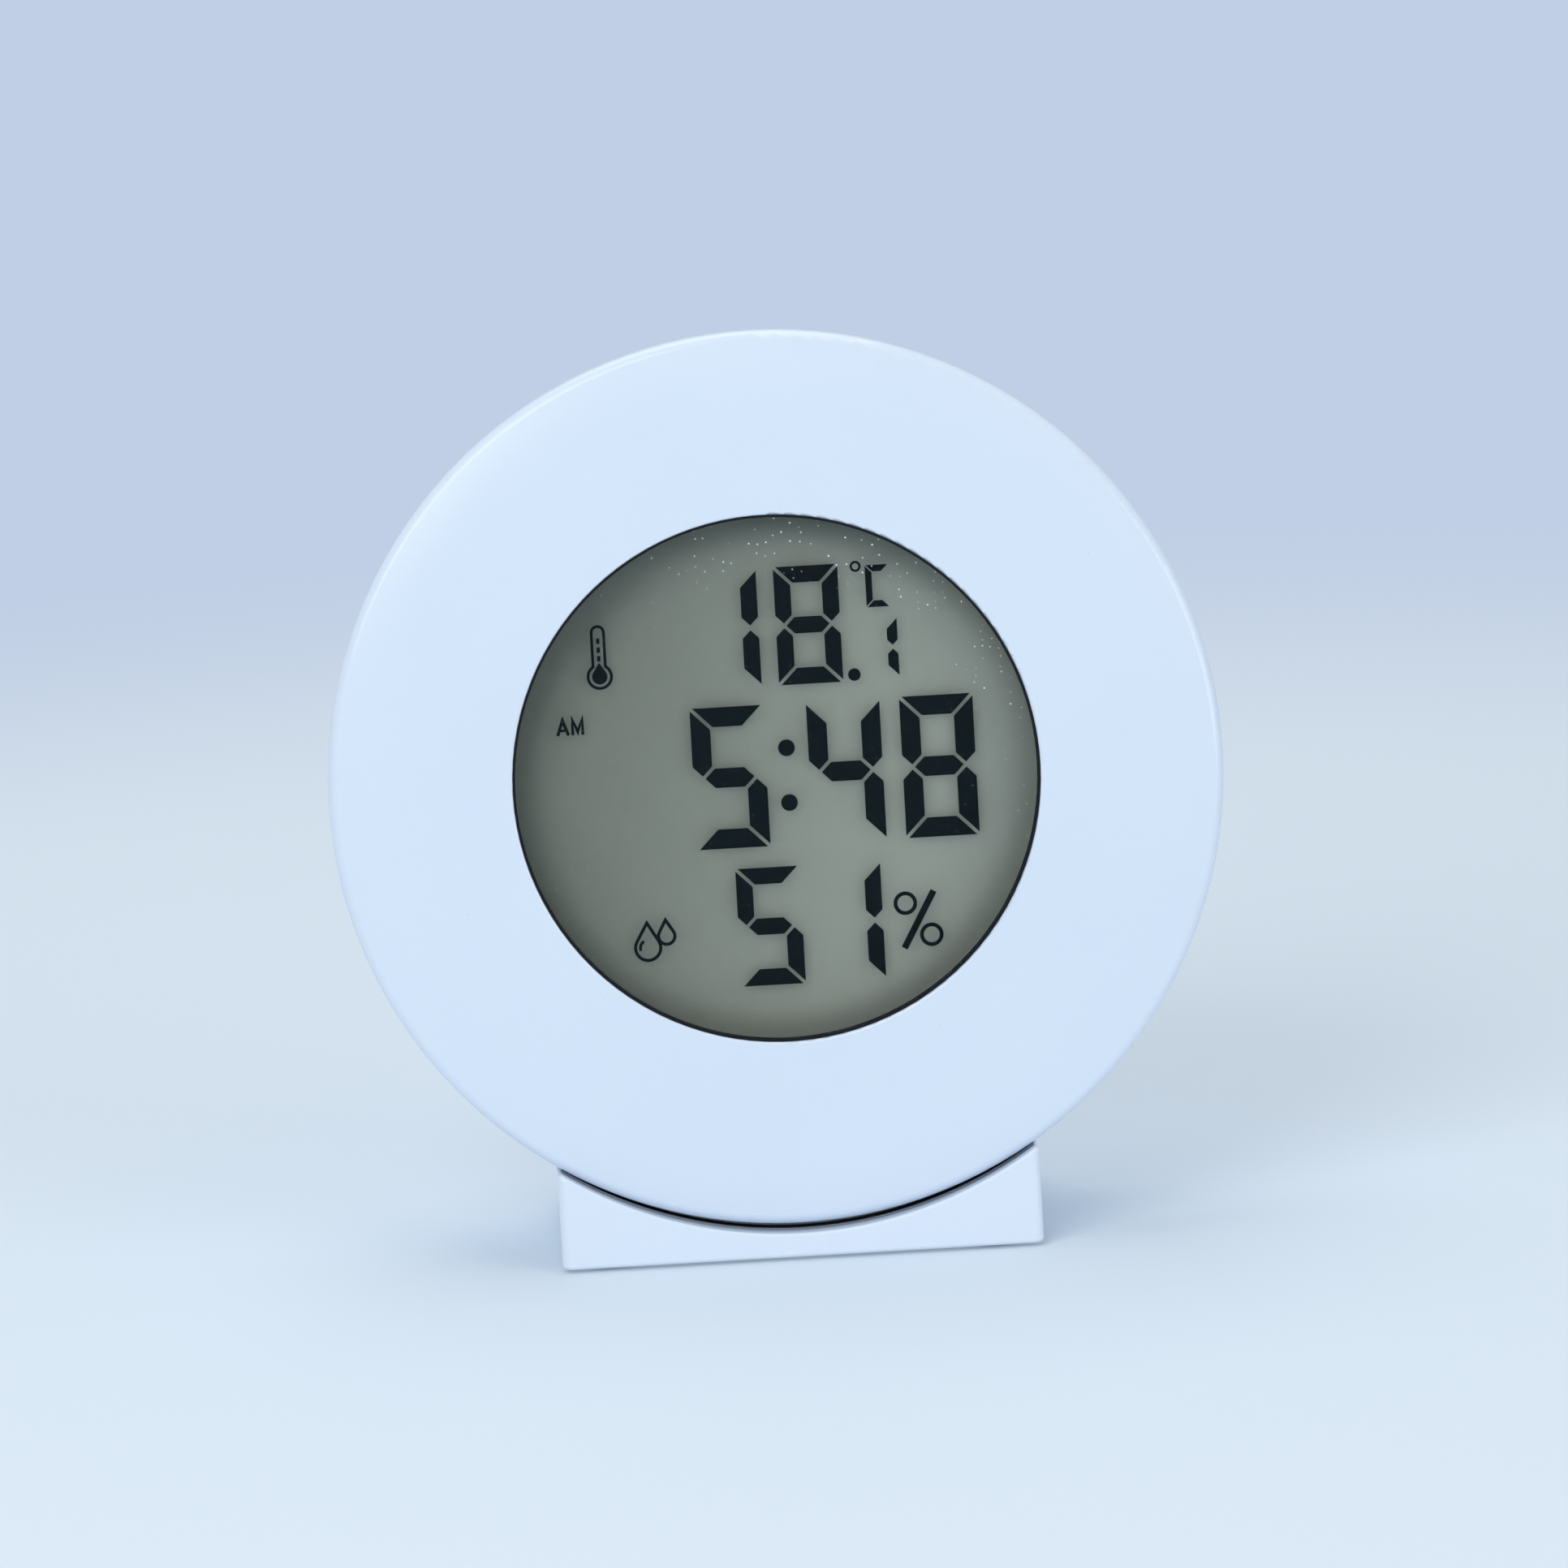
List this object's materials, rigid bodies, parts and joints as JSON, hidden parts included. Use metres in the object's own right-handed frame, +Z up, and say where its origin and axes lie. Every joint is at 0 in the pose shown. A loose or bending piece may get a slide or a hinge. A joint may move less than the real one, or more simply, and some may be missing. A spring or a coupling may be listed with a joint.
{
  "type": "table thermometer hygrometer clock",
  "caption": "Round white table clock with a liquid crystal display of time, temperature and humidity, leaning in a cradle stand.",
  "frame": {"origin": "middle of the overall box, at the level of the table", "axes": "+X to the right as seen from the front, +Y towards the back, +Z up"},
  "size_m": [0.102, 0.0392, 0.1047],
  "materials": {
    "white_plastic": "satin",
    "button_plastic": "satin",
    "clear_plastic": "gloss",
    "black_rubber": "matte",
    "foot_rubber": "matte",
    "display_glass": "gloss",
    "display_film": "satin",
    "frame_plastic": "matte",
    "elastomer": "matte",
    "board": "satin",
    "epoxy": "gloss",
    "component_plastic": "matte",
    "plunger_plastic": "matte",
    "screw_steel": "satin",
    "contact_metal": "polished",
    "cell_jacket": "gloss",
    "red_insulation": "satin",
    "black_insulation": "satin"
  },
  "bodies": {
    "stand": {"stand_body": "white_plastic", "seat_pad": "black_rubber", "rubber_feet": "foot_rubber"},
    "clock": {"front_shell": "white_plastic", "rear_shell": "white_plastic", "window_lens": "clear_plastic", "window_gasket": "black_rubber", "lcd_front_glass": "display_glass", "lcd_rear_glass": "display_glass", "lcd_reflector": "display_film", "lcd_frame": "frame_plastic", "elastomer_strips": "elastomer", "circuit_board": "board", "controller_blob": "epoxy", "crystal_can": "screw_steel", "humidity_sensor": "component_plastic", "surface_mount_parts": "component_plastic", "switch_bodies": "component_plastic", "battery_upper": "cell_jacket", "battery_lower": "cell_jacket", "contact_bridge": "contact_metal", "positive_contact": "contact_metal", "negative_contact": "contact_metal", "positive_lead": "red_insulation", "negative_lead": "black_insulation", "board_screws": "screw_steel", "case_screws": "screw_steel"},
    "set_key": {"set_button": "button_plastic", "set_plunger": "plunger_plastic"},
    "up_key": {"up_button": "button_plastic", "up_plunger": "plunger_plastic"},
    "down_key": {"down_button": "button_plastic", "down_plunger": "plunger_plastic"},
    "door": {"battery_door": "white_plastic"}
  },
  "joints": [
    {"name": "clock_lift", "type": "slide", "parent": "stand", "child": "clock", "axis": [0, 0.1392, 0.9903], "range_m": [0, 0.03]},
    {"name": "set_press", "type": "slide", "parent": "clock", "child": "set_key", "axis": [0, -0.9903, 0.1392], "range_m": [0, 0.0006], "stiffness_N_per_m": 400, "springref_m": -0.0005},
    {"name": "up_press", "type": "slide", "parent": "clock", "child": "up_key", "axis": [0, -0.9903, 0.1392], "range_m": [0, 0.0006], "stiffness_N_per_m": 400, "springref_m": -0.0005},
    {"name": "down_press", "type": "slide", "parent": "clock", "child": "down_key", "axis": [0, -0.9903, 0.1392], "range_m": [0, 0.0006], "stiffness_N_per_m": 400, "springref_m": -0.0005},
    {"name": "battery_door_hinge", "type": "hinge", "parent": "clock", "child": "door", "pos_m": [0, 0.00975, 0.03207], "axis": [-1, 0, 0], "range_deg": [0, 95]}
  ]
}
